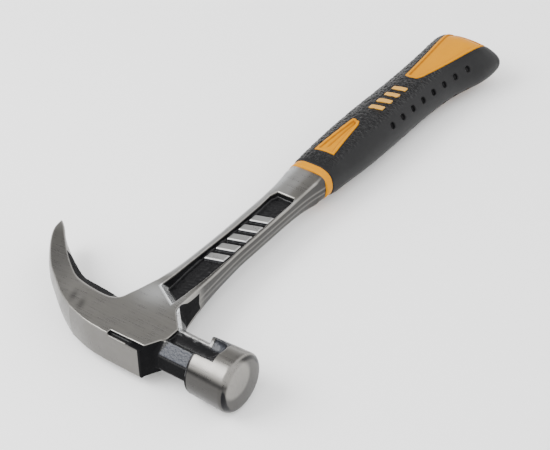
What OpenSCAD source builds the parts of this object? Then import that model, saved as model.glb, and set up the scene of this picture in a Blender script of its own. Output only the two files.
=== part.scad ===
// One-piece forged claw hammer, lying on its side, millimetres, +Z up.
// +X runs from the butt to the crown, +Y is the striking direction, +Z leaves the upper cheek.
// One module per physical piece; every piece is drawn in the same frame.

/* [Overall] */
// Overall length from the crown to the butt
overall_length = 314; // [280:1:360]
// Pitch from the handle axis to the centre of the striking face
face_reach = 62.6; // [52:0.1:75]

/* [Poll] */
// Diameter of the poll at the striking face
poll_d = 28.5; // [24:0.1:36]
// Diameter of the poll where it meets the neck
poll_rear_d = 26.8; // [22:0.1:34]
// Length of the poll along the striking direction
poll_len = 23.0; // [16:0.1:34]
// Height of the crown on the striking face
face_crown = 0.9; // [0:0.1:2]
// Chamfer round the striking face
rim_chamfer = 1.6; // [0.5:0.1:3]

/* [Neck] */
// Distance across the flats of the octagonal neck
neck_flats = 19.4; // [16:0.1:26]
// Radius of the flutes along the neck
flute_r = 5.4; // [3:0.1:8]
// Depth of the flutes below the neck flats
flute_depth = 2.6; // [1:0.1:4]

/* [Body] */
// Thickness of the head across the cheeks
cheek_thick = 18.0; // [14:0.1:24]
// Depth of the stopped rabbet between the upper cheek and the crown
rabbet_depth = 1.7; // [0.5:0.1:3]
// Width of the stopped rabbet between the upper cheek and the crown
rabbet_width = 2.7; // [1:0.1:4]

/* [Claws] */
// Opening of the nail slot at the claw tips
slot_mouth = 6.2; // [5:0.1:9]
// Length of the nail slot from the tips to its root
slot_len = 38; // [25:1:50]
// Radius at the root of the nail slot
slot_root_r = 1.0; // [0.6:0.1:2]
// Depth of the bevel along the inside of the claws, measured from the cheek
bevel_drop = 4.5; // [2:0.1:6]
// Swell of the outside of the claws between their edges
claw_swell = 1.2; // [0:0.1:2.5]

/* [Shank] */
// Thickness of the shank at its flanges, halfway along
shank_t = 10.2; // [7:0.1:14]
// Thickness of the web left between the two recesses
web_t = 4.8; // [3:0.1:7]
// Width of the recess between the flanges
recess_w = 13.0; // [9:0.1:16]
// Middle of the recess, measured from the handle axis towards the face
recess_at = 2.0; // [0:0.1:3]
// Height of the raised plain bars in the recess
bar_relief = 1.6; // [0.4:0.1:1.6]

/* [Grip] */
// Distance from the poll axis to the front of the collar
collar_at = 137; // [120:1:150]
// Length of the exposed collar ring
collar_len = 4.6; // [3:0.1:8]
// Thickness of the soft cover over the grip core
cover_t = 2.4; // [1.5:0.1:4]
// Diameter of the dimples along the striking side
dimple_d = 3.2; // [2:0.1:5]
// Number of dimples on each side
dimple_count = 8; // [4:1:12]

/* [Tang] */
// Width of the tang inside the grip
tang_w = 17.0; // [12:0.1:20]
// Thickness of the tang inside the grip
tang_t = 7.0; // [5:0.1:9]
// Diameter of the locking holes through the tang
tang_hole_d = 7.0; // [5:0.1:9]

/* [Hidden] */
crown_at = 15.0;
butt_at = overall_length - crown_at;
poll_r = poll_d / 2;
cheek_h = cheek_thick / 2;
claw_reach = 77.5;
off_x = (butt_at - crown_at) / 2;
off_y = (claw_reach - face_reach) / 2;
off_z = poll_r;
steel = [0.62, 0.61, 0.59];
yellow = [1.0, 0.66, 0.13];
charcoal = [0.16, 0.16, 0.17];
eps = 0.02;

// Catmull-Rom point between b and c
function cr(a, b, c, d, t) = 0.5 * (2 * b + (c - a) * t + (2 * a - 5 * b + 4 * c - d) * t * t
    + (3 * b - a - 3 * c + d) * t * t * t);
// Smooth run through a list of points, n steps per span
function smooth(p, n) = [for (i = [0 : len(p) - 2]) for (k = [0 : n - 1])
    cr(p[max(i - 1, 0)], p[i], p[i + 1], p[min(i + 2, len(p) - 1)], k / n)];
// Swap from (reach, distance along the handle) to (x, y)
function hp(q) = [-q[1], q[0]];
// Linear interpolation
function mix(a, b, t) = a + (b - a) * t;

// Moves the working frame (poll axis and handle axis meeting at zero) to the part frame
module place() {
  translate([off_x, off_y, off_z])
    children();
}

// Runs its child along the handle axis from d0, growing toward the butt
module along_handle(d0) {
  translate([-d0, 0, 0])
    rotate([0, -90, 0])
      rotate([0, 0, 90])
        children();
}

// Edges of the claws on the cheek side, tip first:
// reach, distance along the handle, half width, mid-plane offset
claw_outer = [[-77.2, 37.1, 6.2, 0.1], [-75.8, 31.3, 6.2, 0.4], [-71.9, 24.9, 6.3, 0.8],
  [-65.4, 17.1, 6.5, 1], [-57.1, 8.7, 6.9, 1], [-48.9, 2.5, 7.5, 1], [-37.6, -5.4, 8.3, 0.8],
  [-27, -10.9, 9, 0.6]];
claw_inner = [[-76.6, 37.7, 6.2, 0], [-72.0, 34.2, 6.2, 0], [-66.6, 28.7, 6.3, 0.4],
  [-58.7, 21.0, 6.5, 2.0], [-50.4, 14.1, 6.9, 3.4], [-40.4, 7.4, 7.5, 4.6], [-31.5, 4.6, 8.3, 5.8],
  [-23, 3.5, 9, 6.2]];
// Rest of the cheek, from the claws round the crown, the nose and the root of the shank
crown_edge = [[-27, -10.9, 9, 0.6], [-16, -13.8, 9, 0.4], [-6, -14.9, 9, 0.1], [6, -15, 9, 0],
  [17.3, -15, 9, 0]];
nose_edge = [[17.4, -13.4, 9, 0.6], [23.0, -2.9, 9, 2.6], [24.2, 3.6, 9, 2.6], [13.4, 14.6, 9, 1.2],
  [10.9, 19, 9, 0.4], [9.5, 26, 9, 0]];
throat_edge = [[-8.4, 26, 9, 0], [-9.0, 17, 9, 0.4], [-10.2, 12, 9, 1.4], [-12.0, 6.8, 9, 3.4],
  [-16.5, 3.9, 9, 5.4], [-23, 3.5, 9, 6.2]];
steps = 5;
claw_a = smooth(claw_outer, steps);
claw_b = smooth(claw_inner, steps);
crown_a = smooth(crown_edge, steps);
throat_a = smooth(throat_edge, steps);
n_claw = len(claw_a);
// One closed loop: outside of the claws from the tip, crown, nose, throat,
// inside of the claws back to the tip
loop = concat(claw_a, crown_a, [crown_edge[4]], nose_edge, throat_a,
  [for (i = [n_claw - 1 : -1 : 0]) claw_b[i]]);
n_loop = len(loop);
// Points of the loop where the faces of the cheek change from strips to fans
nose_turn = n_claw + len(crown_a) + 4;
throat_turn = nose_turn + 3 + 2 * steps;
crown_turn = n_loop - 1 - throat_turn;
cheek_scale = cheek_thick / 18;

// Outward direction of the loop at point i
function out_dir(i) = let (a = loop[(i + n_loop - 1) % n_loop], b = loop[(i + 1) % n_loop],
    d = [b[0] - a[0], b[1] - a[1]], m = max(norm(d), 0.001)) [-d[1] / m, d[0] / m] * -1;
// Point i of the loop at level k: 0 on the upper cheek, 3 on the mid plane, 6 on the lower cheek
function level_pt(i, k) =
  let (q = loop[i], w = q[2] * cheek_scale, j = k > 3 ? 6 - k : k, drop = min(bevel_drop, w),
    z = (k > 3 ? -1 : 1) * (j == 3 ? 0 : w - drop * j / 2),
    o = i < n_claw + len(crown_a) ? q[3] * claw_swell * (j == 0 ? 0 : j == 1 ? 0.55 : j == 2 ? 0.85 : 1)
      : q[3] * min(j, 2) / 2,
    e = out_dir(i))
  [-(q[1] + o * e[1]), q[0] + o * e[0], z];

module head_block() {
  pts = [for (k = [0 : 6]) for (i = [0 : n_loop - 1]) level_pt(i, k)];
  walls = [for (k = [0 : 5]) for (i = [0 : n_loop - 1])
    let (a = k * n_loop, b = a + n_loop, next = (i + 1) % n_loop) [a + i, b + i, b + next, a + next]];
  strips = [for (i = [0 : crown_turn - 1]) [i, i + 1, n_loop - 2 - i, n_loop - 1 - i]];
  nose = [for (i = [crown_turn : nose_turn - 1]) [throat_turn, i, i + 1]];
  root = [for (i = [nose_turn + 2 : throat_turn - 1]) [nose_turn + 1, i, i + 1]];
  top = concat(strips, nose, root, [[nose_turn + 1, throat_turn, nose_turn]]);
  bottom = [for (f = top) [for (j = [len(f) - 1 : -1 : 0]) f[j] + 6 * n_loop]];
  all_faces = [for (f = concat(walls, top, bottom)) [for (j = [len(f) - 1 : -1 : 0]) f[j]]];
  polyhedron(points = pts, faces = all_faces, convexity = 8);
}

// Wedge that opens the nail slot between the claws
module slot_wedge() {
  translate([-39, -78.5, 0])
    rotate([0, 0, 38])
      rotate([90, 0, 0])
        linear_extrude(height = 60, center = true)
          polygon([[-2, -slot_mouth / 2 - 0.2], [slot_len, -slot_root_r], [slot_len, slot_root_r],
              [-2, slot_mouth / 2 + 0.2]]);
  translate([-39, -78.5, 0])
    rotate([0, 0, 38])
      translate([slot_len, 0, 0])
        rotate([90, 0, 0])
          cylinder(r = slot_root_r, h = 60, center = true, $fn = 32);
}

// The stopped rabbet runs along the crown of the upper cheek to the end of the nose
module head_plate() {
  rabbet_run = 20;
  difference() {
    head_block();
    slot_wedge();
    translate([crown_at + 1 - rabbet_width / 2, rabbet_run / 2 - 1, cheek_h + 2 - rabbet_depth])
      cube([rabbet_width + 2, rabbet_run, 4], center = true);
  }
}

// Octagonal neck; beside the nose it stays below the cheeks
module neck() {
  root = 14;
  difference() {
    translate([0, root, 0])
      rotate([-90, 0, 0])
        rotate([0, 0, 22.5])
          cylinder(r = neck_flats / 2 / cos(22.5), h = 2 * root, $fn = 8);
    for (s = [-1, 1])
      translate([0, root, s * (cheek_h + 2 - eps)])
        cube([neck_flats, 19, 4], center = true);
  }
}

// Flute along the neck with a round end in the poll
module flute(s) {
  from = 24;
  run = 19;
  translate([1.5, from, s * (neck_flats / 2 + flute_r - flute_depth)]) {
    rotate([-90, 0, 0])
      cylinder(r = flute_r, h = run, $fn = 48);
    translate([0, run, 0])
      sphere(r = flute_r, $fn = 48);
  }
}

module poll() {
  rotate([-90, 0, 0])
    rotate_extrude($fn = 96)
      polygon([[0, face_reach - poll_len], [poll_rear_d / 2 - 0.8, face_reach - poll_len],
          [poll_rear_d / 2, face_reach - poll_len + 0.8], [poll_r, face_reach - rim_chamfer - 0.6],
          [poll_r - 0.35, face_reach - rim_chamfer + 0.1],
          [poll_r - rim_chamfer, face_reach - face_crown + 0.05],
          [poll_r * 0.6, face_reach - face_crown * 0.3], [poll_r * 0.35, face_reach], [0, face_reach]]);
}

// Stadium section of the shank, w across the striking direction and t thick
module stadium(w, t) {
  square([w - t, t], center = true);
  for (s = [-1, 1])
    translate([s * (w - t) / 2, 0])
      circle(d = t, $fn = 48);
}

// Shank sections: distance along the handle, claw side, striking side, thickness
shank_stations = [[16, -8.4, 14.0, 17.4], [36, -8.7, 13.0, 12.6], [56, -9.1, 11.6, shank_t + 0.4],
  [85, -9.4, 10.0, shank_t], [114, -9.5, 9.6, shank_t + 0.2], [126, -10.2, 10.0, 12.6],
  [136.8, -11.3, 11.3, 15.4]];

module shank_slice(q) {
  translate([0, (q[1] + q[2]) / 2, 0])
    along_handle(q[0])
      linear_extrude(height = 0.2)
        stadium(q[2] - q[1], q[3]);
}

module shank_bar() {
  for (i = [0 : 5])
    hull() {
      shank_slice(shank_stations[i]);
      shank_slice(shank_stations[i + 1]);
    }
}

module recess_outline() {
  claw_side = recess_at - recess_w / 2;
  face_side = recess_at + recess_w / 2;
  outline = [[claw_side + 1.0, 26.5], [4, 21.5], [face_side + 1.1, 20.5], [face_side + 1.1, 40],
    [face_side, 65], [face_side - 1.2, 95], [face_side - 1.3, collar_at - 23],
    [claw_side, collar_at - 21.5]];
  polygon([for (q = outline) hp(q)]);
}

module recess(s) {
  translate([0, 0, s > 0 ? web_t / 2 : -web_t / 2 - 12])
    linear_extrude(height = 12)
      recess_outline();
}

// Plain slanted bars standing on the web
module web_bars(s) {
  for (i = [0 : 4])
    translate([-59.5 - i * 8.9, recess_at, s * (web_t / 2 + bar_relief / 2 - eps)])
      linear_extrude(height = bar_relief, center = true)
        polygon([[-0.9, -4.5], [3.9, -4.5], [0.9, 4.5], [-3.9, 4.5]]);
}

module tang() {
  difference() {
    along_handle(collar_at - 2)
      linear_extrude(height = butt_at - collar_at - 14)
        stadium(tang_w, tang_t);
    for (i = [0 : 2])
      translate([-(collar_at + 38 + i * 48), 0, 0])
        cylinder(d = tang_hole_d, h = 30, center = true, $fn = 32);
  }
}

module forged_body() {
  color(steel)
    place() {
      difference() {
        union() {
          head_plate();
          neck();
          poll();
          difference() {
            shank_bar();
            recess(1);
            recess(-1);
          }
        }
        flute(1);
        flute(-1);
      }
      web_bars(1);
      web_bars(-1);
      tang();
    }
}

// Grip sections: distance along the handle, reach of the claw side, reach of the striking side, half depth
grip_stations = [[141.6, 12.4, 12.4, 9.0], [147, 13.1, 13.1, 10.0], [156, 14.1, 13.9, 11.0],
  [168, 14.9, 14.8, 11.6], [184, 15.4, 15.3, 12.0], [204, 15.5, 15.3, 12.2], [224, 15.3, 15.2, 12.1],
  [242, 15.4, 15.8, 12.1], [258, 15.9, 17.3, 12.3], [270, 16.4, 20.0, 12.7], [281, 17.0, 23.0, 13.1],
  [288, 17.2, 24.0, 12.9], [292, 16.6, 24.2, 11.9], [295, 15.2, 24.1, 10.0], [297, 12.8, 22.8, 7.6],
  [298.4, 9.2, 19.0, 4.8], [299, 6.0, 13.5, 3.0]];
ring_n = 40;

// Ring of a rounded section shrunk by inset
function ring(s, inset) = [for (k = [0 : ring_n - 1])
  let (a = 360 * k / ring_n, c = cos(a), d = sin(a),
    ry = (c < 0 ? s[1] : s[2]) - inset, rz = s[3] - inset,
    e = 0.90)
  [-s[0], ry * sign(c) * pow(abs(c), e), rz * sign(d) * pow(abs(d), e)]];

module skin(stations, inset) {
  n = len(stations);
  pts = [for (s = stations) each ring(s, inset)];
  sides = [for (i = [0 : n - 2]) for (k = [0 : ring_n - 1])
    let (a = i * ring_n, b = a + ring_n, next = (k + 1) % ring_n) [a + k, a + next, b + next, b + k]];
  caps = [[for (k = [ring_n - 1 : -1 : 0]) k], [for (k = [0 : ring_n - 1]) (n - 1) * ring_n + k]];
  polyhedron(points = pts, faces = concat(sides, caps), convexity = 6);
}

core_stations = [for (i = [0 : 12]) grip_stations[i]];

module front_window() {
  outline = [[-6.6, 152.5], [5.2, 153.2], [1.6, 181.5], [0.2, 184.6], [-2.6, 185.8], [-4.6, 185]];
  polygon([for (q = outline) hp(q)]);
}

module rear_window() {
  outline = [[-4.6, 238], [-1.6, 237.2], [2.6, 238.2], [4.2, 241.5], [8.4, 262], [13.6, 288],
    [14.2, 294.5], [12.8, 297], [-7, 297], [-9.4, 294.5], [-9.3, 289]];
  polygon([for (q = outline) hp(q)]);
}

module badge_window() {
  for (i = [0 : 3])
    translate([-(199 + i * 7.2), 0.6, 0])
      polygon([[-1.7, -3.4], [1.1, -3.4], [2.4, 3.4], [-0.4, 3.4]]);
}

// Blocks that carry the window outlines from one side of the grip
module window_block(s) {
  translate([0, 0, s > 0 ? 3 : -23])
    linear_extrude(height = 20) {
      front_window();
      rear_window();
      badge_window();
    }
}

module grip_core() {
  color(yellow)
    place() {
      difference() {
        union() {
          skin(core_stations, cover_t);
          along_handle(collar_at)
            linear_extrude(height = collar_len + 4)
              stadium(25.2, 18.0);
          intersection() {
            skin(grip_stations, 0.35);
            union() {
              window_block(1);
              window_block(-1);
            }
          }
        }
        tang();
        along_handle(collar_at - 4)
          linear_extrude(height = 4 + eps)
            stadium(22.6, 15.4);
      }
    }
}

module dimples(s) {
  for (i = [0 : dimple_count - 1]) {
    t = i / (dimple_count - 1);
    translate([-mix(197.4, 269.5, t), mix(12.8, 16.7, pow(t, 2.4)), s * 6.5])
      rotate([-s * 51, 0, 0])
        cylinder(d = dimple_d, h = 3.6, center = true, $fn = 24);
  }
}

module grip_cover() {
  color(charcoal)
    place() {
      difference() {
        skin(grip_stations, 0);
        skin(core_stations, cover_t);
        along_handle(collar_at - 2)
          linear_extrude(height = collar_len + 6)
            stadium(25.2, 18.0);
        window_block(1);
        window_block(-1);
        tang();
        dimples(1);
        dimples(-1);
      }
    }
}

forged_body();
grip_core();
grip_cover();
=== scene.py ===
from math import cos, pi, radians, sin

import bpy
import numpy as np
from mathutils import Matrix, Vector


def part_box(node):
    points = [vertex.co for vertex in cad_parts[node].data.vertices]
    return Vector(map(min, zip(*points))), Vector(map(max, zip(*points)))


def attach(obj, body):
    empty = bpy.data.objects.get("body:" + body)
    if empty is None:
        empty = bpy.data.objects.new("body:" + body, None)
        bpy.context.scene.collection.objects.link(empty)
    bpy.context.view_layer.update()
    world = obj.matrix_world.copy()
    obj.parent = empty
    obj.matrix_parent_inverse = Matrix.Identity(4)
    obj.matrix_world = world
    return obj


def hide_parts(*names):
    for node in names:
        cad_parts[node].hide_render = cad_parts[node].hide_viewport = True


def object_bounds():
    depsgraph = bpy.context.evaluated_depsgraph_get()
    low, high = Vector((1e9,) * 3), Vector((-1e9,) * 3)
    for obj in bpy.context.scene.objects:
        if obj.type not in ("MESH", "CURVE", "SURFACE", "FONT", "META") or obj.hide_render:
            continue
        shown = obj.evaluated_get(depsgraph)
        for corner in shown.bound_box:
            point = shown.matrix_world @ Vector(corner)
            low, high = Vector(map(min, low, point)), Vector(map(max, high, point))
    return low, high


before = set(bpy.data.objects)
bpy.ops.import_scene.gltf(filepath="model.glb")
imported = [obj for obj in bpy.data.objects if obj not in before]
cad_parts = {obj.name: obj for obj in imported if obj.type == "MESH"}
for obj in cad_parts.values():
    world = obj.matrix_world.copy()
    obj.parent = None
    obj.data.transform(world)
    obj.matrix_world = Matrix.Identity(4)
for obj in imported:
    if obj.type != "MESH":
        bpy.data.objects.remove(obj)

import openvdb
from mathutils import Matrix, Vector

# The forging and the grip are shaped as distance fields in a working frame, in millimetres:
#   p  striking direction, from the handle axis towards the face
#   h  along the handle, from the poll axis towards the butt
#   z  out of the upper cheek
# Only the upper half is worked out and then mirrored, because both sides of z = 0 are the same
# apart from the rabbet on the upper cheek.
CAD_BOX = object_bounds()
MM = 0.001
# How far the crown and the striking face lie from the point where the poll axis crosses the handle axis
CROWN_AT = 15.0
FACE_REACH = 62.6
FORGED_LOW, FORGED_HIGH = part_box("forged_body")
OX = FORGED_HIGH[0] / MM - CROWN_AT
OY = FORGED_HIGH[1] / MM - FACE_REACH
OZ = (FORGED_LOW[2] + FORGED_HIGH[2]) / 2 / MM
BUTT_AT = OX - CAD_BOX[0][0] / MM
# Step between the sample points of a field
VOXEL = 0.4
# Fewest faces that an island of a mesh needs to be kept
SMALLEST_ISLAND = 100
# Distance that a field gives to points well outside a shape it does not reach
FAR = 5.0


# ---------------------------------------------------------------- field tools

def smooth_max(a, b, k):
    """Intersection of two fields with an edge rounded over k millimetres."""
    t = np.clip(0.5 + 0.5 * (a - b) / k, 0, 1)
    return b + (a - b) * t + k * t * (1 - t)


def smooth_min(a, b, k):
    """Union of two fields with a fillet of k millimetres."""
    return -smooth_max(-a, -b, k)


def smoothstep(low, high, x):
    """Soft ramp of x from 0 at low to 1 at high, also where high is the smaller."""
    t = np.clip((x - low) / (high - low), 0, 1)
    return t * t * (3 - 2 * t)


def curve_through(stations, x):
    """Smooth value at x of a curve through (x, value) stations, flat beyond both ends."""
    xs = np.array([s[0] for s in stations], float)
    ys = np.array([s[1] for s in stations], float)
    slope = np.gradient(ys, xs)
    x = np.clip(x, xs[0], xs[-1])
    i = np.clip(np.searchsorted(xs, x, side="right") - 1, 0, len(xs) - 2)
    w = xs[i + 1] - xs[i]
    t = (x - xs[i]) / w
    return (ys[i] * (2 * t ** 3 - 3 * t ** 2 + 1) + ys[i + 1] * (3 * t ** 2 - 2 * t ** 3)
            + slope[i] * w * (t ** 3 - 2 * t ** 2 + t) + slope[i + 1] * w * (t ** 3 - t ** 2))


def smooth_run(points, steps):
    """Catmull-Rom run through rows of numbers, without the last point."""
    rows = np.array(points, float)
    padded = np.vstack([rows[0], rows, rows[-1]])
    out = []
    for a, b, c, d in zip(padded, padded[1:], padded[2:], padded[3:]):
        for k in range(steps):
            t = k / steps
            out.append(0.5 * (2 * b + (c - a) * t + (2 * a - 5 * b + 4 * c - d) * t * t
                              + (3 * b - a - 3 * c + d) * t ** 3))
    return out


def outline_field(points, x, y):
    """Signed distance from (x, y) to a closed outline, negative inside, and the outline's extra
    columns at the nearest point."""
    pts = np.array(points, float)
    nearest = np.full(np.broadcast(x, y).shape, 1e9)
    extra = [np.zeros_like(nearest) for _ in range(pts.shape[1] - 2)]
    inside = np.zeros(nearest.shape, bool)
    for a, b in zip(pts, np.roll(pts, -1, axis=0)):
        ex, ey = b[0] - a[0], b[1] - a[1]
        if ex * ex + ey * ey < 1e-9:
            continue
        t = np.clip(((x - a[0]) * ex + (y - a[1]) * ey) / (ex * ex + ey * ey), 0, 1)
        d = (x - a[0] - t * ex) ** 2 + (y - a[1] - t * ey) ** 2
        closer = d < nearest
        nearest = np.where(closer, d, nearest)
        for k in range(len(extra)):
            extra[k] = np.where(closer, a[k + 2] + t * (b[k + 2] - a[k + 2]), extra[k])
        if abs(ey) > 1e-9:
            inside ^= ((a[1] > y) != (b[1] > y)) & (x < a[0] + (y - a[1]) * ex / ey)
    return np.where(inside, -1, 1) * np.sqrt(nearest), extra


def ripple(p, h, z, wavelength, seed):
    """Soft random-looking waves between about -1 and 1, made of sines in fixed directions."""
    rng = np.random.default_rng(seed)
    total = 0
    for _ in range(9):
        v = rng.normal(size=3)
        v *= 2 * pi / wavelength / np.linalg.norm(v) * rng.uniform(0.75, 1.4)
        total = total + np.sin(v[0] * p + v[1] * h + v[2] * z + rng.uniform(0, 2 * pi))
    return total / 4


class Grid:
    """Sample points of a half field, from the mirror plane upwards."""

    def __init__(self, p_span, h_span, z_top, step):
        self.step = step
        self.p = np.arange(p_span[0], p_span[1], step)[:, None, None]
        self.h = np.arange(h_span[0], h_span[1], step)[None, :, None]
        self.z = np.arange(0, z_top, step)[None, None, :]
        self.shape = (self.p.size, self.h.size, self.z.size)


def mesh_object(name, points, quads):
    """Mesh piece from working-frame points in millimetres."""
    co = np.empty((len(points), 3), np.float32)
    co[:, 0] = (OX - points[:, 1]) * MM
    co[:, 1] = (OY + points[:, 0]) * MM
    co[:, 2] = (OZ + points[:, 2]) * MM
    me = bpy.data.meshes.new(name)
    me.vertices.add(len(co))
    me.vertices.foreach_set("co", co.ravel())
    me.loops.add(quads.size)
    me.loops.foreach_set("vertex_index", quads.ravel().astype(np.int32))
    me.polygons.add(len(quads))
    me.polygons.foreach_set("loop_start", np.arange(0, quads.size, 4, dtype=np.int32))
    me.update(calc_edges=True)
    me.validate()
    me.shade_smooth()
    ob = bpy.data.objects.new(name, me)
    bpy.context.scene.collection.objects.link(ob)
    return ob


def without_specks(points, quads):
    """Drops the loose islands of a few faces that a thin detail can leave behind."""
    label = np.arange(len(points))
    while True:
        joined = label.copy()
        np.minimum.at(joined, quads.ravel(), np.repeat(label[quads].min(axis=1), 4))
        joined = joined[joined]
        if np.array_equal(joined, label):
            break
        label = joined
    size = np.bincount(label[quads[:, 0]], minlength=len(points))
    quads = quads[size[label[quads[:, 0]]] >= SMALLEST_ISLAND]
    used, renumbered = np.unique(quads, return_inverse=True)
    return points[used], renumbered.reshape(quads.shape)


def surface(name, field, grid, lower=None):
    """Closed mesh of the zero surface of a half field, over its mirror image or over another lower half."""
    below = field if lower is None else lower
    full = np.concatenate([below[:, :, :0:-1], field], axis=2).astype(np.float32)
    vdb = openvdb.FloatGrid()
    vdb.background = 9.0
    vdb.copyFromArray(np.ascontiguousarray(full))
    points, quads = without_specks(*vdb.convertToQuads(0.0))
    low = np.array([grid.p.ravel()[0], grid.h.ravel()[0], -grid.z.ravel()[-1]])
    points = points * grid.step + low
    # the working frame turns into the part frame without mirroring, so the order of the corners stays
    return mesh_object(name, points, quads), points


def point_values(ob, name, values):
    """Stores one number per vertex as a named attribute."""
    layer = ob.data.attributes.new(name, "FLOAT", "POINT")
    layer.data.foreach_set("value", np.asarray(values, np.float32))


# ---------------------------------------------------------------- forging

# Edges of the cheek: striking direction, distance along the handle, how far the wall leans out,
# and 1 where the wall is convex, on the crown side
CLAW_OUTER = [(-77.2, 37.1, 0.1, 1), (-75.8, 31.3, 0.5, 1), (-71.9, 24.9, 1.0, 1), (-65.4, 17.1, 1.2, 1),
              (-57.1, 8.7, 1.2, 1), (-48.9, 2.5, 1.2, 1), (-37.6, -5.4, 1.0, 1), (-27, -10.9, 0.7, 1)]
CROWN_EDGE = [(-27, -10.9, 0.7, 1), (-16, -13.8, 0.5, 1), (-6, -14.8, 0.1, 1), (6, -14.95, 0, 1),
              (17.3, -14.95, 0, 1)]
NOSE_EDGE = [(17.3, -14.95, 0, 1), (17.4, -13.4, 0.6, 0), (23.0, -2.9, 2.6, 0), (24.2, 3.6, 3.4, 0),
             (13.4, 14.6, 4.4, 0), (11.6, 19, 1.0, 0), (10.5, 26, 0.0, 0)]
THROAT_EDGE = [(-7.4, 26, 0, 0), (-8.8, 17, 0.4, 0), (-10.2, 12, 1.4, 0), (-12.0, 6.8, 3.4, 0),
               (-16.5, 3.9, 5.4, 0), (-23, 3.5, 6.2, 0)]
CLAW_INNER = [(-76.6, 37.7, 0, 0), (-72.0, 34.2, 0, 0), (-66.6, 28.7, 0.4, 0), (-58.7, 21.0, 2.0, 0),
              (-50.4, 14.1, 3.4, 0), (-40.4, 7.4, 4.6, 0), (-31.5, 4.6, 5.8, 0), (-23, 3.5, 6.2, 0)]
# Half thickness of the head at the cheek and at the claw tips, and the height over which its walls lean
CHEEK_HALF = 9.0
TIP_HALF = 6.2
CLAW_DROP = 3.2
NOSE_DROP = 6.0
# Half thickness of the shank and its reach on the claw side and the striking side,
# by distance along the handle
SHANK_HALF = [(11, 9.05), (16, 8.95), (21, 8.5), (27, 7.7), (35, 6.8), (45, 5.9), (56, 5.4),
              (70, 5.1), (90, 5.1), (112, 5.3), (120, 5.8), (128, 6.7), (137, 7.8)]
SHANK_CLAW = [(10, 8.8), (30, 8.3), (43, 8.1), (60, 8.1), (78, 8.2), (95, 8.5), (111, 8.8),
              (122, 9.3), (130, 10.1), (137, 11.5)]
SHANK_FACE = [(10, 15.5), (22, 14.4), (35, 12.8), (46, 11.7), (56, 10.9), (68, 10.1), (80, 9.9), (95, 9.7),
              (111, 9.5), (122, 9.7), (130, 10.4), (137, 11.6)]
# Recess between the flanges, at the level of the flange tops: striking direction, distance along the handle
RECESS = [(-3.3, 20), (4, 14.5), (10.4, 14.5), (10.3, 22), (9.9, 29), (9.5, 40), (9.0, 50), (8.6, 62),
          (8.0, 80), (7.7, 100), (7.6, 113.5), (6.8, 116.2), (-3.6, 116.2), (-5.0, 111.5), (-4.4, 100),
          (-4.2, 80), (-4.5, 58), (-4.3, 45), (-3.6, 34)]
WEB_HALF = 2.4
RECESS_DRAFT = 0.16
# Ramp at the head end of the recess: a point of its top edge, the direction it faces and its run per rise
RAMP_P, RAMP_H = -3.2, 24.3
RAMP_TURN_P, RAMP_TURN_H = 0.518, 0.855
RAMP_RUN = 0.80
# Slanted bars across the recess
BARS = 5
BAR_FROM, BAR_PITCH = 55.5, 8.9
BAR_LOW, BAR_HIGH = -2.5, 6.6
BAR_SLANT, BAR_WIDE = 3.0, 4.9
BAR_HALF = 4.0
SHANK_DRAFT = 0.09
SHANK_FROM, SHANK_TO = 12, 141
# Oval that the shank grows into where it enters the collar
OVAL_P, OVAL_Z, OVAL_POWER = 11.9, 8.4, 2.7
OVAL_FROM, OVAL_FULL = 90, 133
OVAL_FLARE = 0.28
# Nail slot: where its line starts beyond the tips, its heading, and where it stops
SLOT_P, SLOT_H = -78.5, 39
SLOT_HEADING = radians(38)
SLOT_LENGTH = 38
SLOT_MOUTH_HALF = 3.3
SLOT_ROOT_R = 1.0
SLOT_STOP_P = -10
RABBET_FROM, RABBET_TO = -1.0, 30
RABBET_WALL_H = -12.6
RABBET_TAPER = 0.3 / 16.5
RABBET_DEPTH = 1.8
# Neck and poll, along the striking direction; the flute is a round groove beside the neck
NECK_FROM, NECK_TO = 12, 44
NOSE_TIP = 23.4
NECK_HALF = 9.6
FLUTE_H, FLUTE_Z, FLUTE_R = 1.0, 14.0, 7.1
FLUTE_FROM, FLUTE_TO = 23.6, 44.5
POLL_REAR = 40.2
POLL_R = 14.25
POLL_REAR_R = 13.4
FACE_CROWN = 1.0
FACE_CHAMFER = 2.6


def cheek_loop():
    """Closed outline of the head: outer claw, crown, nose, throat and inner claw."""
    outer = smooth_run(CLAW_OUTER, 6)
    inner = smooth_run(CLAW_INNER, 6)
    crown = smooth_run(CROWN_EDGE, 6)
    throat = smooth_run(THROAT_EDGE, 6)
    return outer + crown + [np.array(q, float) for q in NOSE_EDGE] + throat + inner[::-1]


def cheek_walls(g):
    """Side walls of the head: convex on the crown side, bevelled or drafted on the other side."""
    p, h, z = g.p, g.h, g.z
    edge, (draft, crown_side) = outline_field(cheek_loop(), p[:, :, 0], h[:, :, 0])
    edge, draft, crown_side = edge[:, :, None], draft[:, :, None], crown_side[:, :, None] > 0.5
    half = plate_half(p, h)
    drop = np.where(p < 0, CLAW_DROP, NOSE_DROP)
    depth = np.clip((half - z) / np.where(crown_side, half, drop), 0, 1)
    out = draft * np.where(crown_side, 1 - (1 - depth) ** 2, depth)
    steep = np.where(crown_side | (depth >= 1), 0, draft / drop)
    return (edge - out) / np.sqrt(1 + steep ** 2)


def plate_half(p, h):
    """Half thickness of the head and the shank."""
    half = TIP_HALF + (CHEEK_HALF - TIP_HALF) * smoothstep(-66, -22, p)
    return np.minimum(half, curve_through(SHANK_HALF, h))


def shank_walls(g):
    """Drafted sides of the shank, which meet in a parting line."""
    p, h, z = g.p, g.h, g.z
    side = np.maximum(p - curve_through(SHANK_FACE, h), -p - curve_through(SHANK_CLAW, h)) + SHANK_DRAFT * z
    return np.maximum(side / np.sqrt(1 + SHANK_DRAFT ** 2), np.maximum(SHANK_FROM - h, h - SHANK_TO))


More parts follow.
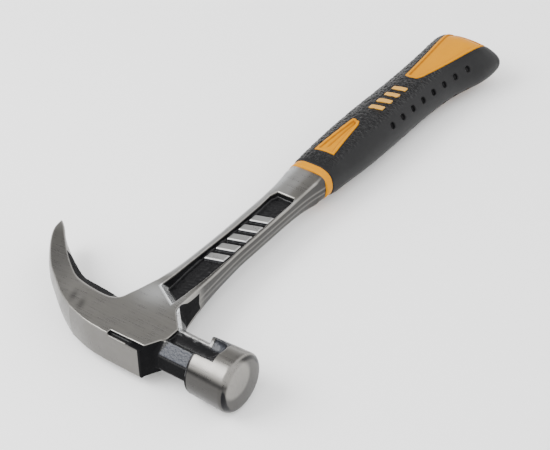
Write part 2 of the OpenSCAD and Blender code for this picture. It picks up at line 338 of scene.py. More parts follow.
def slot_cut(g):
    """Nail slot: a wedge that runs in from the tips along the inside of the claws."""
    along = (SLOT_H - g.h) * cos(SLOT_HEADING) + (g.p - SLOT_P) * sin(SLOT_HEADING)
    gap = SLOT_MOUTH_HALF + (SLOT_ROOT_R - SLOT_MOUTH_HALF) * np.clip(along / SLOT_LENGTH, 0, 1)
    root = SLOT_ROOT_R - np.sqrt((along - SLOT_LENGTH) ** 2 + g.z ** 2)
    cut = np.where(along < SLOT_LENGTH, gap - g.z, root)
    return np.minimum(cut, SLOT_STOP_P - g.p)


def behind_rabbet(p, h):
    """Distance from the wall of the rabbet towards the crown."""
    return RABBET_WALL_H + (p - RABBET_FROM) * RABBET_TAPER - h


def plate_field(g):
    """Head and shank in one plate, with the nail slot."""
    sides = smooth_min(cheek_walls(g), shank_walls(g), 1.4)
    rounding = 0.5 + 1.4 * smoothstep(16, 40, g.h)
    field = smooth_max(sides, g.z - plate_half(g.p, g.h), rounding)
    # the shank turns oval where it enters the collar
    oval = ((np.abs(g.p) / OVAL_P) ** OVAL_POWER + (g.z / OVAL_Z) ** OVAL_POWER) ** (1 / OVAL_POWER) - 1
    oval = OVAL_Z * oval - OVAL_FLARE * np.clip(OVAL_FULL - g.h, 0, None)
    field = smooth_max(field, np.where(g.h > OVAL_FROM, oval, -40), 1.0)
    return smooth_max(field, slot_cut(g), 0.6)


def rabbet_cut(g):
    """Positive inside the stopped rabbet between the upper cheek and the crown."""
    along = np.minimum(g.p - RABBET_FROM, RABBET_TO - g.p)
    return all_of(behind_rabbet(g.p, g.h), along, g.z - (CHEEK_HALF - RABBET_DEPTH))


def recess_ramp(p, h, z):
    """Distance above the plane of the ramp between the cheek and the floor of the recess."""
    into = (p - RAMP_P) * RAMP_TURN_P + (h - RAMP_H) * RAMP_TURN_H
    return (into - RAMP_RUN * np.clip(plate_half(p, h) - z, 0, None)) / np.sqrt(1 + RAMP_RUN ** 2)


def recess_cut(g):
    """Positive inside the recess, which has drafted walls, a wavy floor and a ramp towards the head."""
    p, h, z = g.p, g.h, g.z
    edge, _ = outline_field(RECESS, p[:, :, 0], h[:, :, 0])
    below = np.clip(plate_half(p, h) - z, 0, None)
    walls = (edge[:, :, None] + RECESS_DRAFT * below) / np.sqrt(1 + RECESS_DRAFT ** 2)
    walls = smooth_max(walls, -recess_ramp(p, h, z), 0.8)
    floor = WEB_HALF + 0.13 * ripple(p, h, z, 2.6, 5)
    return -smooth_max(walls, floor - z, 0.9)


def slanted_bar(low, high, start, slant, wide):
    """Outline of a plain bar from low to high that starts at a distance along the handle."""
    return [(low, start), (high, start + slant), (high, start + slant + wide), (low, start + wide)]


def bar_outlines():
    """Plain slanted bars across the recess."""
    starts = [BAR_FROM + BAR_PITCH * i for i in range(BARS)]
    return [slanted_bar(BAR_LOW, BAR_HIGH, start, BAR_SLANT, BAR_WIDE) for start in starts]


def bars_field(g):
    """Plain slanted bars standing on the web."""
    field = np.full(g.shape, FAR)
    above = g.z - BAR_HALF
    for outline in bar_outlines():
        edge, _ = outline_field(outline, g.p[:, :, 0], g.h[:, :, 0])
        field = np.minimum(field, smooth_max(edge[:, :, None] - 0.1 + 0.15 * above, above, 0.7))
    return field


def neck_field(g):
    """Octagonal neck, which stays below the cheeks beside the nose."""
    p, h, z = g.p, g.h, g.z
    across = np.abs(h)
    octagon = smooth_max(smooth_max(across - NECK_HALF, z - NECK_HALF - 0.4, 0.5),
                         (across + z) / np.sqrt(2) - NECK_HALF - 0.15, 0.5)
    neck = np.maximum(octagon, np.maximum(NECK_FROM - p, p - NECK_TO))
    return np.maximum(neck, np.minimum(NOSE_TIP - p, z - CHEEK_HALF + 0.3))


def flute_cut(g):
    """Positive inside the flute that runs along the neck into the poll."""
    p, h, z = g.p, g.h, g.z
    past = np.clip(p - FLUTE_TO, 0, None)
    reach = FLUTE_R - np.sqrt((h - FLUTE_H) ** 2 + (z - FLUTE_Z) ** 2 + past ** 2)
    return np.minimum(reach + 0.08 * ripple(p, h, z, 3.4, 31), p - FLUTE_FROM)


def poll_field(g):
    """Poll: a slight cone with a crowned face and a chamfered rim."""
    p, h, z = g.p, g.h, g.z
    r = np.sqrt(h ** 2 + z ** 2)
    forward = np.clip((p - POLL_REAR) / (FACE_REACH - POLL_REAR), 0, 1)
    side = r - (POLL_REAR_R + (POLL_R - POLL_REAR_R) * forward)
    face = p - FACE_REACH + FACE_CROWN * (r / POLL_R) ** 2
    rim = (p - FACE_REACH + r - POLL_R + FACE_CHAMFER) / np.sqrt(2)
    return smooth_max(smooth_max(smooth_max(side, face, 0.4), rim, 0.8), POLL_REAR - p, 0.8)


def all_of(*parts):
    """Positive only where every part is."""
    return np.minimum.reduce(np.broadcast_arrays(*parts))


def enamel_mask(points):
    """Signed distance, in millimetres, into the black enamel: positive where the forging is painted."""
    p, h, z = points[:, 0], points[:, 1], np.abs(points[:, 2])
    edge, (draft, crown_side) = outline_field(cheek_loop(), p, h)
    below = plate_half(p, h) - z
    beside = np.where(crown_side > 0.5, -FAR, FAR)
    rim, _ = outline_field(RECESS, p, h)
    # bevel inside the claws, bright again towards the tips
    claw_wall = all_of(below - 0.5, edge + 0.6, 21 - h, -8.0 - p - 0.5 * below, beside, p + 61)
    # walls of the nose, from the crown round to the root of the shank
    nose_wall = all_of(below - 0.3, edge + 1.2, p - 9.0, 17 - h, 30 - p, h + 14.75)
    root_top = curve_through([(15, 9), (19.5, 8.1), (22.5, 6.4), (28, 5.1), (33, 4.5)], h)
    root_wall = all_of(31.5 - h + 0.3 * z, p - 9.0, 30 - p, root_top - z, h - 14, below - 0.3, rim - 0.3)
    neck = all_of(p - 16, POLL_REAR + 1.3 - p, np.maximum(p - 24.0, below - 0.35))
    patch = all_of(50.4 - p, h - 3.0, p - 38)
    flute = all_of(FLUTE_R + 0.4 - np.sqrt((h - FLUTE_H) ** 2 + (z - FLUTE_Z) ** 2), 51.3 - p, p - 23.5)
    beyond = behind_rabbet(p, h)
    rabbet = all_of(beyond + 0.2, 1.75 - beyond, CHEEK_HALF - 0.25 - z, z - 6.9, p + 1.3, 19 - p)
    recess = all_of(-rim - 0.05, below - 0.3, recess_ramp(p, h, z) + 0.5)
    bars = np.full(p.shape, -FAR)
    for outline in bar_outlines():
        bar, _ = outline_field(outline, p, h)
        bars = np.maximum(bars, all_of(0.25 - bar, z - BAR_HALF + 0.6))
    recess = np.minimum(recess, -bars)
    return np.maximum.reduce([claw_wall, nose_wall, root_wall, neck, patch, flute, rabbet, recess])


def wear_and_sheen_mask(points):
    """Bands where grinding has cut through the enamel and left it only in the pits, and a weak partly bare
    band on the far wall of the flute that is a painted sheen.
    """
    p, h, z = points[:, 0], points[:, 1], np.abs(points[:, 2])
    below = plate_half(p, h) - z
    recess, _ = outline_field(RECESS, p, h)
    ramp = all_of(0.9 - np.abs(recess_ramp(p, h, z)), z - 3.0, 0.4 - recess, 32 - h)
    strip = all_of(below - 0.5, p - 12.2, h - 4.5, 20 - h, 24.5 - p, 31 - h - p, z)
    # painted sheen: the far wall of the flute is left a little bare so it shows as a grey sheen
    far_side = np.minimum(0.10, all_of(p - 24.5, 42 - p, h - 4.4, 7.4 - h, z - 6))
    return np.maximum.reduce([ramp, strip, far_side])


def matte_mask(points):
    """The paint inside the claws, on the walls of the nose and on the side of the neck is matte."""
    p, h, z = points[:, 0], points[:, 1], np.abs(points[:, 2])
    claws = all_of(-8.0 - p, 22 - h, h - 2.5)
    root = all_of(p - 9, h - 13)
    nose = all_of(p - 11, 23.4 - p, 4.2 - h)
    neck_side = all_of(p - 23.0, 42 - p, -h - 4, 3.6 - z)
    return np.maximum.reduce([claws, nose, root, neck_side])


def polish_and_painted_light(points):
    """Tone of the bare steel and of the enamel: 0 as ground, negative darker, positive brighter. Most of it
    is painted light (painted reflections and shade on the poll and the face, painted highlights and shade
    on the shank, a painted highlight on the cheek, a painted sheen on the neck facet and the patch behind
    the poll); the rest is uneven polish, wear and two dark smudges.
    """
    p, h, z = points[:, 0], points[:, 1], np.abs(points[:, 2])
    below = plate_half(p, h) - z
    recess, _ = outline_field(RECESS, p, h)
    cheek, _ = outline_field(cheek_loop(), p, h)
    r = np.sqrt(h ** 2 + z ** 2) + 1e-6
    flank = smoothstep(0.5, 1.4, below) * smoothstep(28, 38, h) * smoothstep(0.3, 0.8, recess)
    flange = smoothstep(0.5, 0.2, below) * smoothstep(28, 38, h) * smoothstep(0.1, 0.3, recess)
    on_poll = smoothstep(38, 40, p) * smoothstep(11, 12.6, r)
    off_centre = np.sqrt((h + 4.1) ** 2 + (points[:, 2] - 5.4) ** 2)
    # painted reflection and shade on the poll: its lower side darker and a dark band along it; the whole
    # poll is also a little darker
    dark = [0.52 * on_poll * (1 - smoothstep(0.30, 0.74, z / r)),
            0.30 * on_poll * np.exp(-((z / r - 0.50) / 0.08) ** 2),
            0.25 * on_poll,
            # painted reflection of shade: a dark ring round the striking face, off its centre
            0.66 * smoothstep(60.4, 61.2, p) * smoothstep(7.4, 9.8, off_centre),
            # darker on the crown side below the cheek, and darker towards the claw tips
            0.40 * smoothstep(0, -10, h) * smoothstep(8.8, 8.0, z) * (1 - smoothstep(16, 20, p)),
            0.42 * smoothstep(-24, -58, p) * smoothstep(8.8, 7.5, z),
            # painted shade on the flank of the shank, on the top of its striking-side flange and on its
            # striking side near the collar
            0.84 * flank,
            0.78 * flange * smoothstep(4, 7, p) * smoothstep(104, 88, h),
            0.45 * smoothstep(0, 7, p) * smoothstep(9.2, 8.2, p) * smoothstep(113, 120, h)]
    # two dark smudges at the root of the claws
    for at_p, at_h in ((-30.5, -4.2), (-23.5, -6.8)):
        along = ((p - at_p) * 0.9 + (h - at_h) * 0.4) / 1.6
        across = ((h - at_h) * 0.9 - (p - at_p) * 0.4) / 3.6
        dark.append(0.5 * np.exp(-along ** 2 - across ** 2) * smoothstep(0.5, 0.2, below))
    # painted highlight: a bright patch on the cheek beside the root of the shank
    bright = [0.50 * np.exp(-((p + 0.5) / 10) ** 2 - ((h - 18.5) / 7.5) ** 2) * smoothstep(6, 8, z),
              # brighter bare steel where the enamel is worn: partly wear, partly painted highlight
              0.70 * smoothstep(0, 0.3, wear_and_sheen_mask(points)),
              # brighter ground tops of the bars
              0.35 * smoothstep(2.6, 3.6, z) * smoothstep(-0.6, -1.0, recess) * smoothstep(34, 36, h),
              # painted highlights on the claw-side flange top, in a line along the flank and on the claw
              # side near the collar
              flange * (0.22 + 0.30 * smoothstep(-4, -7, p)),
              0.45 * flank * np.exp(-((z - 1.5) / 0.45) ** 2) * smoothstep(4, 7, p),
              0.35 * smoothstep(-2, -8, p) * smoothstep(113, 120, h),
              # painted sheen on the enamel of the lower neck facet and of the patch behind the poll
              0.50 * smoothstep(3.0, 3.6, cheek) * smoothstep(39.4, 38.8, p) * (h < 0)
              * smoothstep(3.5, 3.0, np.abs(z + h) / np.sqrt(2)),
              0.40 * smoothstep(42, 43, p) * smoothstep(3, 5, h) * smoothstep(51, 50, p)]
    return sum(bright) - sum(dark)


def build_forging(materials):
    """The one-piece forging, with values on its vertices for the enamel and for the polish with its painted
    light and shade.
    """
    # the sample points reach a little past the forging on every side
    g = Grid((-80, 65.2), (-17.2, 142), 15.2, VOXEL)
    plate = smooth_max(plate_field(g), recess_cut(g), 0.4)
    plate = smooth_min(plate, bars_field(g), 0.15)
    neck = smooth_min(plate, neck_field(g), 0.5)
    field = np.minimum(neck, poll_field(g))
    lower = smooth_max(field, flute_cut(g), 0.5)
    upper = smooth_max(lower, rabbet_cut(g), 0.35)
    ob, points = surface("forging", upper, g, lower)
    point_values(ob, "enamel", enamel_mask(points))
    point_values(ob, "wear_and_sheen", wear_and_sheen_mask(points))
    point_values(ob, "matte", matte_mask(points))
    point_values(ob, "tone", polish_and_painted_light(points))
    ob.data.materials.append(materials["forged_steel"])
    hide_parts("forged_body")
    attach(ob, "root")


# ---------------------------------------------------------------- grip

# Grip sections: distance along the handle, reach of the claw side, reach of the striking side, half depth
GRIP = [(141.6, 12.4, 12.4, 9.0), (147, 13.1, 13.1, 10.0), (156, 14.1, 13.9, 11.0), (168, 14.9, 14.8, 11.6),
        (184, 15.4, 15.3, 12.0), (204, 15.5, 15.3, 12.2), (224, 15.3, 15.2, 12.1), (242, 15.4, 15.8, 12.1),
        (258, 15.9, 17.3, 12.3), (270, 16.4, 20.0, 12.7), (281, 17.0, 23.0, 13.1), (288, 17.2, 24.0, 12.9),
        (292, 16.6, 24.2, 11.9), (295, 15.2, 24.1, 10.0), (297, 12.8, 22.8, 7.6), (298.4, 9.2, 19.0, 4.8),
        (299, 6.0, 13.5, 3.0)]
FRONT_WINDOW = [(-6.6, 152.5), (5.2, 153.2), (1.6, 181.5), (0.2, 184.6), (-2.6, 185.8), (-4.6, 185)]
REAR_WINDOW = [(-4.6, 238), (-1.6, 237.2), (2.6, 238.2), (4.2, 241.5), (8.4, 262), (13.6, 288),
               (14.2, 294.5), (12.8, 297), (-7, 297), (-9.4, 294.5), (-9.3, 289)]
# Collar ring: where it starts, and the flat and the round of its section
COLLAR_AT = 137.0
COLLAR_FLAT = 3.6
COLLAR_R = 9.0
COVER_FROM = 141.6
COVER_THICK = 4.0
# Row of dimples: the first one and how far the row runs in both directions
DIMPLES = 8
DIMPLE_P, DIMPLE_H, DIMPLE_Z = 12.8, 197.4, 6.5
DIMPLE_RUN_P, DIMPLE_RUN_H, DIMPLE_BEND = 3.9, 72.1, 2.4
DIMPLE_R = 1.7
DIMPLE_DEPTH = 1.9
DIMPLE_LEAN = radians(51)
# Slanted bars on the cheeks of the grip
BADGE_BARS = 4
BADGE_FROM, BADGE_PITCH = 198.4, 7.6
BADGE_LOW, BADGE_HIGH = -2.9, 4.2
BADGE_SLANT, BADGE_WIDE = 2.2, 3.0
BADGE_PROUD, BADGE_DEPTH = 0.28, 1.5


def skin_field(g):
    """Outside of the grip: rounded sections from the collar to the flared butt."""
    p, h, z = g.p, g.h, g.z
    claw, face, deep = (curve_through([(s[0], s[column]) for s in GRIP], h) for column in (1, 2, 3))
    n = 2.22 + 0.6 * smoothstep(158, 141, h)
    f = ((np.abs(p) / np.where(p < 0, claw, face)) ** n + (z / deep) ** n) ** (1 / n) - 1
    gp, gh, gz = np.gradient(f, g.step)
    # the slope dies out along the middle line, so it is held above a small value there
    slope = np.maximum(np.sqrt(gp ** 2 + gh ** 2 + gz ** 2), 0.04)
    return smooth_max(f / slope, h - BUTT_AT + 0.05, 1.5)


def leather_zone(p, h):
    """1 where the cover is pebbled, 0 where it is smooth."""
    return smoothstep(11.5, 6.5, p) * smoothstep(142.5, 146, h) * smoothstep(294, 278, h)


def leather(g):
    """Creases of the pebbled grain on the claw side and the cheeks, fading out on the striking side."""
    crease = np.exp(-(ripple(g.p, g.h, g.z, 3.8, 11) / 0.42) ** 2)
    finer = np.exp(-(ripple(g.p, g.h, g.z, 2.8, 23) / 0.45) ** 2)
    return leather_zone(g.p, g.h) * (0.36 * crease + 0.14 * finer)


def window_edge(p, h):
    """Signed distance to the outlines of the two windows, negative inside."""
    front, _ = outline_field(FRONT_WINDOW, p, h)
    rear, _ = outline_field(REAR_WINDOW, p, h)
    return np.minimum(front, rear)


def dimples(g, skin):
    """Negative inside a row of blind holes on the striking side of each cheek."""
    field = np.full(g.shape, FAR)
    for i in range(DIMPLES):
        t = i / (DIMPLES - 1)
        p0 = DIMPLE_P + DIMPLE_RUN_P * t ** DIMPLE_BEND
        h0 = DIMPLE_H + DIMPLE_RUN_H * t
        across = (g.p - p0) * cos(DIMPLE_LEAN) - (g.z - DIMPLE_Z) * sin(DIMPLE_LEAN)
        reach = (np.abs(across) ** 3 + np.abs(g.h - h0) ** 3) ** (1 / 3) - DIMPLE_R
        field = np.minimum(field, np.maximum(reach, 3.0 - (g.p - p0 + 6) * sin(DIMPLE_LEAN)))
    return np.maximum(field, -(skin + DIMPLE_DEPTH))


def badge_field(g, skin):
    """Plain slanted bars standing a little proud of the cover on each cheek."""
    field = np.full(g.shape, FAR)
    for i in range(BADGE_BARS):
        outline = slanted_bar(BADGE_LOW, BADGE_HIGH, BADGE_FROM + BADGE_PITCH * i, BADGE_SLANT, BADGE_WIDE)
        edge, _ = outline_field(outline, g.p[:, :, 0], g.h[:, :, 0])
        field = np.minimum(field, edge[:, :, None] - 0.15)
    depth = np.maximum(skin - BADGE_PROUD, -(skin + BADGE_DEPTH))
    return smooth_max(np.maximum(field, 3 - g.z), depth, 0.5)


def finish_grip(name, field, g, slot, node, materials):
    """Makes one piece of the grip in its material and ties it to the part."""
    ob, points = surface(name, field, g)
    ob.data.materials.append(materials[slot])
    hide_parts(node)
    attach(ob, "root")
    return ob, points


def painted_crease_shade(points):
    """Painted shade in the amber windows: darker along the foot of the border and in the trough."""
    p, h = points[:, 0], points[:, 1]
    foot = np.exp(-((window_edge(p, h) + 1.9) / 0.35) ** 2)
    trough = np.exp(-((p + 1.6) / 0.5) ** 2) * smoothstep(186, 182, h) * smoothstep(156, 160, h)
    return np.where(h > 147, 0.8 * foot + 0.7 * trough, 0)


def build_grip(materials):
    """The cover, the amber core with its collar and windows, and the bars on the cheeks."""
    # the sample points reach a little past the grip on every side
    g = Grid((-19, 26), (135, 300.2), 15, VOXEL)
    skin = skin_field(g)
    outline = window_edge(g.p[:, :, 0], g.h[:, :, 0])[:, :, None]
    window = smooth_max(outline, 3 - g.z, 0.3)
    # the rubber thins to a soft lip around the windows and the collar
    lip = 0.35 * np.exp(-(np.clip(window, 0, None) / 0.7) ** 2)
    cover = skin + leather(g) * smoothstep(0.4, 1.4, window) + lip
    cover = smooth_max(smooth_max(cover, COVER_FROM - g.h, 1.2), -window, 0.4)
    cover = np.maximum(cover, -(skin + COVER_THICK))
    badge = badge_field(g, skin)
    cover = np.maximum(cover, -dimples(g, skin))
    cover = np.maximum(cover, -(badge - 0.05))
    ob, points = finish_grip("rubber_cover", cover, g, "cover_rubber", "grip_cover", materials)
    point_values(ob, "leather", leather_zone(points[:, 0], points[:, 1]))
    stadium = np.sqrt(np.clip(np.abs(g.p) - COLLAR_FLAT, 0, None) ** 2 + g.z ** 2) - COLLAR_R
    collar = smooth_max(smooth_max(stadium, COLLAR_AT - g.h, 1.2), g.h - 146, 1)
    collar = np.where(g.h > COVER_FROM + 0.1, np.maximum(collar, skin + 0.5), collar)
    # amber windows: a raised border, a sunken middle and a trough down the front one
    border = smoothstep(-2.0, -1.5, outline)
    trough = 0.8 * np.exp(-((g.p + 1.6) / 0.7) ** 2) * smoothstep(190, 184, g.h) * smoothstep(155, 160, g.h)
    inset = np.maximum(skin + 0.10 + 0.95 * (1 - border) + trough, outline + 0.02)
    inset = np.maximum(inset, 2 - g.z)
    core = np.minimum(np.minimum(collar, inset), np.maximum(skin + COVER_THICK - 0.2, 142 - g.h))
    ob, points = finish_grip("amber_core", core, g, "core_plastic", "grip_core", materials)
    point_values(ob, "crease_shade", painted_crease_shade(points))
    finish_grip("badge_bars", badge, g, "badge_plastic", "grip_core", materials)


# ---------------------------------------------------------------- materials

class Nodes:
    """Short way to write the node tree of a material or of the sky."""

    def __init__(self, owner, shader="Principled BSDF"):
        owner.use_nodes = True
        self.owner = owner
        self.tree = owner.node_tree
        self.inputs = self.tree.nodes[shader].inputs

    def add(self, kind, **settings):
        node = self.tree.nodes.new(kind)
        for key, value in settings.items():
            setattr(node, key, value)
        return node

    def link(self, source, target):
        self.tree.links.new(source, target)

    def math(self, operation, a, b):
        node = self.add("ShaderNodeMath", operation=operation)
        for socket, value in zip(node.inputs, (a, b)):
            if isinstance(value, (int, float)):
                socket.default_value = value
            else:
                self.link(value, socket)
        return node.outputs[0]

    def remap(self, value, low, high, to_low=0.0, to_high=1.0):
        node = self.add("ShaderNodeMapRange")
        self.link(value, node.inputs["Value"])
        for key, number in (("From Min", low), ("From Max", high), ("To Min", to_low), ("To Max", to_high)):
            node.inputs[key].default_value = number
        return node.outputs["Result"]

    def mix_color(self, factor, a, b):
        node = self.add("ShaderNodeMix", data_type="RGBA")
        self.link(factor, node.inputs[0])
        for socket, value in ((node.inputs[6], a), (node.inputs[7], b)):
            if isinstance(value, tuple):
                socket.default_value = (*value, 1)
            else:
                self.link(value, socket)
        return node.outputs[2]

    def mix_value(self, factor, a, b):
        node = self.add("ShaderNodeMix", data_type="FLOAT")
        self.link(factor, node.inputs[0])
        for socket, value in ((node.inputs[2], a), (node.inputs[3], b)):
            if isinstance(value, (int, float)):
                socket.default_value = value
            else:
                self.link(value, socket)
        return node.outputs[0]

    def attribute(self, name):
        """Number stored on the vertices under a name."""
        return self.add("ShaderNodeAttribute", attribute_name=name).outputs["Fac"]

    def noise(self, scale, detail=2.0, rotation=(0, 0, 0)):
        """Noise with so many cells per millimetre, the same in all directions or one number for each."""
        per_axis = scale if isinstance(scale, tuple) else (scale, scale, scale)
        coord = self.add("ShaderNodeTexCoord")
        mapping = self.add("ShaderNodeMapping")
        mapping.inputs["Rotation"].default_value = rotation
        mapping.inputs["Scale"].default_value = tuple(cells / MM for cells in per_axis)
        self.link(coord.outputs["Object"], mapping.inputs["Vector"])
        node = self.add("ShaderNodeTexNoise")
        self.link(mapping.outputs["Vector"], node.inputs["Vector"])
        node.inputs["Scale"].default_value = 1.0
        node.inputs["Detail"].default_value = detail
        node.inputs["Roughness"].default_value = 0.5
        return node.outputs["Fac"]

    def bump(self, height, strength, distance_mm, normal=None):
        node = self.add("ShaderNodeBump")
        node.inputs["Strength"].default_value = strength
        node.inputs["Distance"].default_value = distance_mm * MM
        self.link(height, node.inputs["Height"])
        if normal is not None:
            self.link(normal, node.inputs["Normal"])
        return node.outputs["Normal"]


def forged_steel():
    """Satin ground steel with grinding marks; glossy black enamel where the mask says so."""
    n = Nodes(bpy.data.materials.new("forged_steel"))
    mask = n.attribute("enamel")
    wear_and_sheen = n.attribute("wear_and_sheen")
    matte = n.attribute("matte")
    painted_light_and_polish = n.attribute("tone")
    pits = n.remap(n.noise(1.1), 0.57, 0.64)
    unpitted = n.math("SUBTRACT", 1.0, n.math("MULTIPLY", pits, 0.85))
    # bare steel where the enamel is worn, and a partly bare band on the flute wall as painted sheen
    bare = n.math("MULTIPLY", n.remap(wear_and_sheen, -0.1, 0.3), unpitted)
    painted = n.math("MULTIPLY", n.remap(mask, -0.12, 0.12), n.math("SUBTRACT", 1.0, bare))
    # grinding marks: long thin streaks across the cheeks and up the crown
    cheek = n.noise((1.4, 0.06, 0.4), rotation=(0, 0, radians(52)))
    streak = n.noise((1.8, 1.8, 0.12))
    cloud = n.noise(0.14, 3.0)
    grain = n.math("ADD", n.math("MULTIPLY", cheek, 0.6), n.math("MULTIPLY", streak, 0.4))
    tone = n.mix_color(n.remap(grain, 0.34, 0.66), (0.186, 0.179, 0.168), (0.232, 0.223, 0.209))
    tone = n.mix_color(n.remap(cloud, 0.35, 0.65, 0.0, 0.8), tone, (0.212, 0.204, 0.187))
    # painted shade where the tone is negative and painted highlight where it is positive, with some uneven
    # polish and wear
    tone = n.mix_color(n.remap(painted_light_and_polish, 0.0, -1.0), tone, (0.012, 0.012, 0.013))
    tone = n.mix_color(n.remap(painted_light_and_polish, 0.0, 1.0), tone, (0.78, 0.79, 0.80))
    # painted sheen: bluish grey on the enamel where the tone is positive
    enamel = n.mix_color(n.remap(painted_light_and_polish, 0.0, 1.0), (0.004, 0.004, 0.0045), (0.060, 0.066, 0.082))
    n.link(n.mix_color(painted, tone, enamel), n.inputs["Base Color"])
    n.link(n.remap(painted, 0, 1, 1.0, 0.0), n.inputs["Metallic"])
    rough = n.remap(n.math("ADD", grain, n.math("MULTIPLY", cloud, 0.5)), 0.6, 0.95, 0.27, 0.40)
    enamel_rough = n.remap(matte, -0.5, 0.5, 0.17, 0.72)
    n.link(n.mix_value(painted, rough, enamel_rough), n.inputs["Roughness"])
    n.link(n.remap(matte, -0.5, 0.5, 0.2, 0.05), n.inputs["Specular IOR Level"])
    peel = n.noise(1.0)
    scratched = n.bump(grain, 0.05, 0.04)
    height = n.math("MULTIPLY", peel, painted)
    n.link(n.bump(height, 0.45, 0.30, scratched), n.inputs["Normal"])
    return n.owner


def core_plastic():
    """Amber plastic with fine grain and painted shade in its grooves."""
    n = Nodes(bpy.data.materials.new("core_plastic"))
    cloud = n.noise(0.2, 3.0)
    crease_shade = n.attribute("crease_shade")
    tone = n.mix_color(cloud, (0.43, 0.170, 0.0), (0.50, 0.202, 0.0))
    # painted shade: a darker amber along the grooves of the windows
    n.link(n.mix_color(crease_shade, tone, (0.24, 0.072, 0.0)), n.inputs["Base Color"])
    n.inputs["Roughness"].default_value = 0.42
    n.inputs["Specular IOR Level"].default_value = 0.04
    grain = n.noise(2.2)
    n.link(n.bump(grain, 0.25, 0.06), n.inputs["Normal"])
    return n.owner


def cover_rubber():
    """Charcoal cover, pebbled where the leather grain is."""
    n = Nodes(bpy.data.materials.new("cover_rubber"))
    cloud = n.noise(0.3, 3.0)
    n.link(n.mix_color(cloud, (0.005, 0.005, 0.0055), (0.009, 0.009, 0.0095)), n.inputs["Base Color"])
    n.inputs["Specular IOR Level"].default_value = 0.14
    zone = n.attribute("leather")
    pebbles = n.math("MULTIPLY", n.noise(0.75), zone)
    n.link(n.remap(zone, 0.0, 1.0, 0.46, 0.33), n.inputs["Roughness"])
    fine = n.noise(3.0)
    n.link(n.bump(pebbles, 1.0, 1.2, n.bump(fine, 0.3, 0.08)), n.inputs["Normal"])
    return n.owner


def badge_plastic():
    """Paler amber of the bars on the grip."""
    n = Nodes(bpy.data.materials.new("badge_plastic"))
    cloud = n.noise(0.5, 3.0)
    n.link(n.mix_color(cloud, (0.42, 0.21, 0.02), (0.52, 0.27, 0.035)), n.inputs["Base Color"])
    n.inputs["Roughness"].default_value = 0.38
    grain = n.noise(2.0)
    n.link(n.bump(grain, 0.25, 0.06), n.inputs["Normal"])
    return n.owner


def floor_material():
    """Matt white of the studio floor."""
    n = Nodes(bpy.data.materials.new("floor"))
    n.inputs["Base Color"].default_value = (0.9, 0.9, 0.9, 1)
    n.inputs["Roughness"].default_value = 0.9
    return n.owner


# ---------------------------------------------------------------- studio

SKY_STRENGTH = 2.7
KEY_POWER = 10
FLOOR_HALF = 3.0
# Camera: direction and roll in degrees, the point it looks at in working-frame millimetres,
# its distance in metres and its lens in millimetres
CAMERA_AZIMUTH, CAMERA_ELEVATION, CAMERA_ROLL = 36.89, 37.37, -1.5
CAMERA_AIM_P, CAMERA_AIM_H = 7.29, 98.76
CAMERA_DISTANCE = 0.6867
CAMERA_LENS = 91.6363636


def camera():
    """Camera above the striking side of the crown, as in a catalogue view of the hammer."""
    azimuth, elevation, roll = (radians(a) for a in (CAMERA_AZIMUTH, CAMERA_ELEVATION, CAMERA_ROLL))
    back = Vector((cos(azimuth) * cos(elevation), sin(azimuth) * cos(elevation), sin(elevation)))
    level = Vector((-sin(azimuth), cos(azimuth), 0))
    upright = back.cross(level)
    right = level * cos(roll) + upright * sin(roll)
    up = upright * cos(roll) - level * sin(roll)
    target = Vector((OX - CAMERA_AIM_H, OY + CAMERA_AIM_P, OZ)) * MM
    matrix = Matrix((right, up, back)).transposed().to_4x4()
    matrix.translation = target + back * CAMERA_DISTANCE
    data = bpy.data.cameras.new("camera")
    data.sensor_width = 36
    data.lens = CAMERA_LENS
    data.clip_start = 0.01
    ob = bpy.data.objects.new("camera", data)
    ob.matrix_world = matrix
    bpy.context.scene.collection.objects.link(ob)
    bpy.context.scene.camera = ob


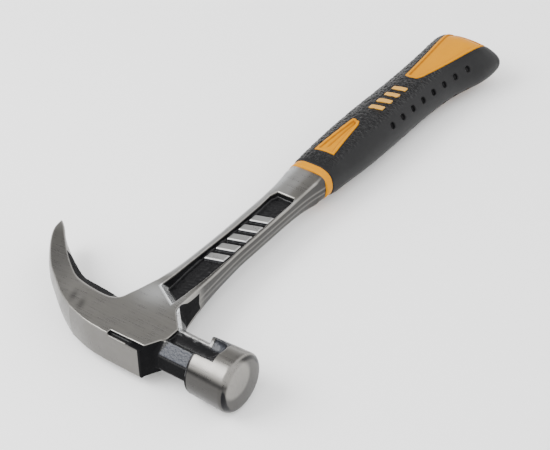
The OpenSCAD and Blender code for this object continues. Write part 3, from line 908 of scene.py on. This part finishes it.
def softbox(name, place, aim, size, power):
    """Rectangular light at a place, turned to its aim."""
    data = bpy.data.lights.new(name, "AREA")
    data.shape = "RECTANGLE"
    data.size, data.size_y = size
    data.energy = power
    ob = bpy.data.objects.new(name, data)
    ob.location = place
    ob.rotation_euler = (Vector(aim) - Vector(place)).to_track_quat("-Z", "Y").to_euler()
    bpy.context.scene.collection.objects.link(ob)


def sky():
    """White tent with a dim patch behind the hammer and a dim band low on the crown side."""
    world = bpy.data.worlds.new("studio")
    bpy.context.scene.world = world
    n = Nodes(world, "Background")
    view = n.add("ShaderNodeTexCoord").outputs["Generated"]

    def facing(direction, low, high):
        """0 to 1 as the angle to a direction closes, between two cosines."""
        dot = n.add("ShaderNodeVectorMath", operation="DOT_PRODUCT")
        dot.inputs[1].default_value = Vector(direction).normalized()
        n.link(view, dot.inputs[0])
        ramp = n.add("ShaderNodeMapRange", interpolation_type="SMOOTHSTEP")
        ramp.inputs["From Min"].default_value = low
        ramp.inputs["From Max"].default_value = high
        n.link(dot.outputs["Value"], ramp.inputs["Value"])
        return ramp.outputs["Result"]

    patch = facing((-0.50, -0.42, 0.74), cos(radians(46)), cos(radians(26)))
    low_band = n.math("MULTIPLY", facing((0, 0, 1), 0.26, 0.14), facing((0.95, -0.2, 0), 0.2, 0.5))
    dim = n.math("MAXIMUM", n.math("MULTIPLY", patch, 0.70), n.math("MULTIPLY", low_band, 0.85))
    n.link(n.math("MULTIPLY", n.math("SUBTRACT", 1.0, dim), SKY_STRENGTH), n.inputs["Strength"])
    n.inputs["Color"].default_value = (1, 1, 1, 1)


def studio():
    """Sky, key light and floor."""
    sky()
    softbox("key", (0.55, -0.45, 0.70), (0.05, 0, 0), (0.6, 0.5), KEY_POWER)
    half = FLOOR_HALF
    mesh = bpy.data.meshes.new("floor")
    corners = [(-half, -half, 0), (half, -half, 0), (half, half, 0), (-half, half, 0)]
    mesh.from_pydata(corners, [], [(0, 1, 2, 3)])
    mesh.materials.append(floor_material())
    floor = bpy.data.objects.new("floor", mesh)
    bpy.context.scene.collection.objects.link(floor)


camera()
studio()
MATERIALS = {"forged_steel": forged_steel(), "core_plastic": core_plastic(), "cover_rubber": cover_rubber(),
             "badge_plastic": badge_plastic()}
build_forging(MATERIALS)
build_grip(MATERIALS)
